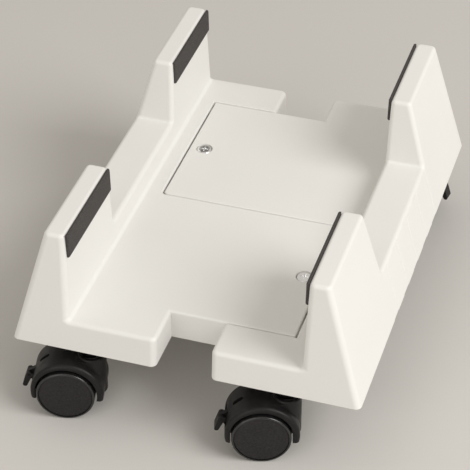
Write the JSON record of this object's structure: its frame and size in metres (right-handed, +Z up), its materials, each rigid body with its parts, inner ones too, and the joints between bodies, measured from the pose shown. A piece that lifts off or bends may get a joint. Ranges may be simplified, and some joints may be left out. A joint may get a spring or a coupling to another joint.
{
  "type": "cpu holder",
  "caption": "Rolling stand for a tower computer: two telescoping plastic halves with padded uprights and a flat tray between them, on twin-wheel casters with brake levers.",
  "frame": {"origin": "on the floor, at the middle of the stand's box with the stand pushed in to its narrowest", "axes": "+X across the stand to the right, the way it widens; +Y along the stand to the back; +Z up"},
  "size_m": [0.241, 0.3444, 0.1433],
  "materials": {
    "base": "satin moulded",
    "pad": "foam",
    "steel": "zinc plated",
    "dark_steel": "black zinc plated",
    "caster": "satin moulded",
    "tread": "satin moulded"
  },
  "bodies": {
    "left_half": {"left_base": "base", "front_left_pad": "pad", "rear_left_pad": "pad", "front_clamp_screw": "steel", "front_clamp_washer": "steel", "front_left_stem_socket": "caster", "front_left_stem": "dark_steel", "front_left_grip_ring": "dark_steel", "front_left_thrust_washer": "dark_steel", "rear_left_stem_socket": "caster", "rear_left_stem": "dark_steel", "rear_left_grip_ring": "dark_steel", "rear_left_thrust_washer": "dark_steel"},
    "right_half": {"right_base": "base", "front_right_pad": "pad", "rear_right_pad": "pad", "rear_clamp_screw": "steel", "rear_clamp_washer": "steel", "front_right_stem_socket": "caster", "front_right_stem": "dark_steel", "front_right_grip_ring": "dark_steel", "front_right_thrust_washer": "dark_steel", "rear_right_stem_socket": "caster", "rear_right_stem": "dark_steel", "rear_right_grip_ring": "dark_steel", "rear_right_thrust_washer": "dark_steel"},
    "front_nut": {"front_wing_nut": "steel"},
    "rear_nut": {"rear_wing_nut": "steel"},
    "front_left_caster": {"front_left_hood": "caster", "front_left_axle": "steel", "front_left_lever_pin": "dark_steel"},
    "front_left_outer": {"front_left_outer_wheel": "tread", "front_left_outer_cap": "tread"},
    "front_left_inner": {"front_left_inner_wheel": "tread", "front_left_inner_cap": "tread"},
    "front_left_brake": {"front_left_brake_lever": "caster"},
    "front_right_caster": {"front_right_hood": "caster", "front_right_axle": "steel", "front_right_lever_pin": "dark_steel"},
    "front_right_outer": {"front_right_outer_wheel": "tread", "front_right_outer_cap": "tread"},
    "front_right_inner": {"front_right_inner_wheel": "tread", "front_right_inner_cap": "tread"},
    "front_right_brake": {"front_right_brake_lever": "caster"},
    "rear_right_caster": {"rear_right_hood": "caster", "rear_right_axle": "steel", "rear_right_lever_pin": "dark_steel"},
    "rear_right_outer": {"rear_right_outer_wheel": "tread", "rear_right_outer_cap": "tread"},
    "rear_right_inner": {"rear_right_inner_wheel": "tread", "rear_right_inner_cap": "tread"},
    "rear_right_brake": {"rear_right_brake_lever": "caster"},
    "rear_left_caster": {"rear_left_hood": "caster", "rear_left_axle": "steel", "rear_left_lever_pin": "dark_steel"},
    "rear_left_outer": {"rear_left_outer_wheel": "tread", "rear_left_outer_cap": "tread"},
    "rear_left_inner": {"rear_left_inner_wheel": "tread", "rear_left_inner_cap": "tread"},
    "rear_left_brake": {"rear_left_brake_lever": "caster"}
  },
  "joints": [
    {"name": "width_slide", "type": "slide", "parent": "left_half", "child": "right_half", "axis": [1, 0, 0], "range_m": [0, 0.068]},
    {"name": "front_nut_turn", "type": "hinge", "parent": "left_half", "child": "front_nut", "pos_m": [0.056, -0.06175, 0.0645], "axis": [0, 0, -1], "range_deg": [0, 360]},
    {"name": "rear_nut_turn", "type": "hinge", "parent": "right_half", "child": "rear_nut", "pos_m": [-0.056, 0.06175, 0.0645], "axis": [0, 0, -1], "range_deg": [0, 360]},
    {"name": "front_left_swivel", "type": "hinge", "parent": "left_half", "child": "front_left_caster", "pos_m": [-0.0685, -0.145, 0.046], "axis": [0, 0, 1], "continuous": true},
    {"name": "front_left_outer_roll", "type": "hinge", "parent": "front_left_caster", "child": "front_left_outer", "pos_m": [-0.08508, -0.14874, 0.02], "axis": [-0.2198, 0.9755, 0], "continuous": true},
    {"name": "front_left_inner_roll", "type": "hinge", "parent": "front_left_caster", "child": "front_left_inner", "pos_m": [-0.08508, -0.14874, 0.02], "axis": [-0.2198, 0.9755, 0], "continuous": true},
    {"name": "front_left_brake_lift", "type": "hinge", "parent": "front_left_caster", "child": "front_left_brake", "pos_m": [-0.11084, -0.15454, 0.0255], "axis": [-0.2198, 0.9755, 0], "range_deg": [0, 35]},
    {"name": "front_right_swivel", "type": "hinge", "parent": "right_half", "child": "front_right_caster", "pos_m": [0.0685, -0.145, 0.046], "axis": [0, 0, 1], "continuous": true},
    {"name": "front_right_outer_roll", "type": "hinge", "parent": "front_right_caster", "child": "front_right_outer", "pos_m": [0.05223, -0.14991, 0.02], "axis": [-0.289, 0.9573, 0], "continuous": true},
    {"name": "front_right_inner_roll", "type": "hinge", "parent": "front_right_caster", "child": "front_right_inner", "pos_m": [0.05223, -0.14991, 0.02], "axis": [-0.289, 0.9573, 0], "continuous": true},
    {"name": "front_right_brake_lift", "type": "hinge", "parent": "front_right_caster", "child": "front_right_brake", "pos_m": [0.02695, -0.15754, 0.0255], "axis": [-0.289, 0.9573, 0], "range_deg": [0, 35]},
    {"name": "rear_right_swivel", "type": "hinge", "parent": "right_half", "child": "rear_right_caster", "pos_m": [0.0685, 0.145, 0.046], "axis": [0, 0, 1], "continuous": true},
    {"name": "rear_right_outer_roll", "type": "hinge", "parent": "rear_right_caster", "child": "rear_right_outer", "pos_m": [0.08533, 0.14263, 0.02], "axis": [-0.1392, -0.9903, 0], "continuous": true},
    {"name": "rear_right_inner_roll", "type": "hinge", "parent": "rear_right_caster", "child": "rear_right_inner", "pos_m": [0.08533, 0.14263, 0.02], "axis": [-0.1392, -0.9903, 0], "continuous": true},
    {"name": "rear_right_brake_lift", "type": "hinge", "parent": "rear_right_caster", "child": "rear_right_brake", "pos_m": [0.11148, 0.13896, 0.0255], "axis": [-0.1392, -0.9903, 0], "range_deg": [0, 35]},
    {"name": "rear_left_swivel", "type": "hinge", "parent": "left_half", "child": "rear_left_caster", "pos_m": [-0.0685, 0.145, 0.046], "axis": [0, 0, 1], "continuous": true},
    {"name": "rear_left_outer_roll", "type": "hinge", "parent": "rear_left_caster", "child": "rear_left_outer", "pos_m": [-0.05223, 0.14991, 0.02], "axis": [0.289, -0.9573, 0], "continuous": true},
    {"name": "rear_left_inner_roll", "type": "hinge", "parent": "rear_left_caster", "child": "rear_left_inner", "pos_m": [-0.05223, 0.14991, 0.02], "axis": [0.289, -0.9573, 0], "continuous": true},
    {"name": "rear_left_brake_lift", "type": "hinge", "parent": "rear_left_caster", "child": "rear_left_brake", "pos_m": [-0.02695, 0.15754, 0.0255], "axis": [0.289, -0.9573, 0], "range_deg": [0, 35]}
  ]
}
